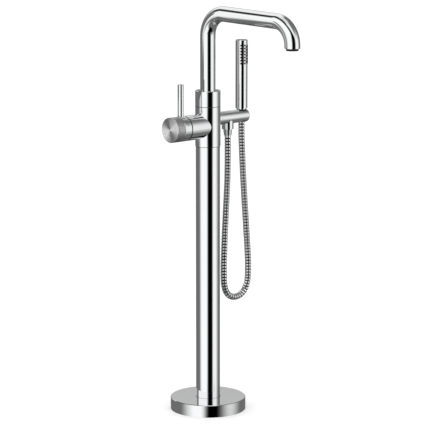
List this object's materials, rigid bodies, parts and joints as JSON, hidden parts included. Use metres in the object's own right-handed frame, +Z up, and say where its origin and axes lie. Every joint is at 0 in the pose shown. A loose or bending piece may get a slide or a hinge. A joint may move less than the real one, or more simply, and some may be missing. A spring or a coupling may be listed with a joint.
{
  "type": "floor standing bath filler",
  "caption": "Floor standing bath filler with a round base, a pillar, a barrel mixer with lever ring and knob, a swivel spout, and a hand shower on a hose",
  "frame": {"origin": "on the floor, on the pillar's axis, at the centre of the floor screws' circle", "axes": "+Z up along the pillar, the spout points along -Y, the holder arm along +X and the control barrel along -X"},
  "size_m": [0.2228, 0.3388, 0.8451],
  "materials": {
    "chrome": "polished chrome plate",
    "brushed": "fine brushed chrome",
    "brass": "machined brass",
    "steel": "stainless steel",
    "copper": "drawn copper tube",
    "black_plastic": "black acetal",
    "white_plastic": "white acetal",
    "rubber": "black rubber",
    "silicone": "dark grey silicone",
    "ceramic": "lapped ceramic",
    "hose_metal": "chromed metal hose"
  },
  "bodies": {
    "pillar": {"floor_gasket": "rubber", "floor_flange": "steel", "pillar_socket": "steel", "pillar_screws": "steel", "pillar_tube": "chrome", "inlet_manifold": "brass", "hot_supply_tube": "copper", "cold_supply_tube": "copper", "valve_body": "chrome", "spigot_o_ring": "rubber", "lower_seam_ring": "black_plastic", "upper_seam_ring": "black_plastic", "mixing_cartridge": "white_plastic", "fixed_disc": "ceramic", "cartridge_nut": "brass", "barrel_seam_ring": "black_plastic", "spout_collar": "chrome", "collar_screw": "steel", "swivel_bush": "white_plastic", "swivel_washer": "white_plastic", "arm_root_ring": "chrome", "arm_nipple": "brass", "nipple_o_rings": "rubber", "holder_arm": "chrome", "arm_screw": "steel", "holder_liner": "black_plastic", "hose_outlet": "chrome", "check_valve": "white_plastic", "outlet_washer": "rubber", "outlet_ferrule": "brass", "hose_nut": "chrome", "shower_hose": "hose_metal"},
    "cover": {"base_cover": "chrome", "cover_seal": "rubber"},
    "lever": {"lever_ring": "brushed", "lever_pin": "chrome", "lever_screw": "steel", "mixing_sleeve": "brass", "moving_disc": "ceramic", "spindle_bush": "white_plastic"},
    "knob": {"knurled_grip": "brushed", "knob_hub": "white_plastic", "knob_end_disc": "brushed", "knob_screw": "steel", "flow_spindle": "brass", "diverter_plug": "brass"},
    "spout": {"spout_tube": "chrome", "swivel_tail": "brass", "swivel_o_rings": "rubber", "aerator_shell": "black_plastic", "aerator_insert": "black_plastic"},
    "hose_end": {"swivel_ferrule": "brass"},
    "handset": {"cone_nut": "chrome", "handset_washer": "rubber", "flow_limiter": "white_plastic", "handset_stem": "chrome", "handset_tube": "chrome", "handset_cap": "chrome", "nozzle_strip": "silicone"}
  },
  "joints": [
    {"name": "cover_lift", "type": "slide", "parent": "pillar", "child": "cover", "axis": [0, 0, 1], "range_m": [0, 0.12]},
    {"name": "lever_turn", "type": "hinge", "parent": "pillar", "child": "lever", "pos_m": [-0.0721, 0.0025, 0.5973], "axis": [-1, 0, 0], "range_deg": [-45, 45]},
    {"name": "knob_turn", "type": "hinge", "parent": "pillar", "child": "knob", "pos_m": [-0.0898, 0.0025, 0.5973], "axis": [-1, 0, 0], "range_deg": [-90, 90]},
    {"name": "spout_swivel", "type": "hinge", "parent": "pillar", "child": "spout", "pos_m": [0, 0, 0.6547], "axis": [0, 0, 1], "range_deg": [-60, 60]},
    {"name": "handset_lift", "type": "slide", "parent": "pillar", "child": "hose_end", "axis": [0, 0, 1], "range_m": [0, 0.1], "deforming": ["shower_hose"]},
    {"name": "handset_turn", "type": "hinge", "parent": "hose_end", "child": "handset", "pos_m": [0.0942, 0, 0.6115], "axis": [0, 0, 1], "continuous": true}
  ]
}
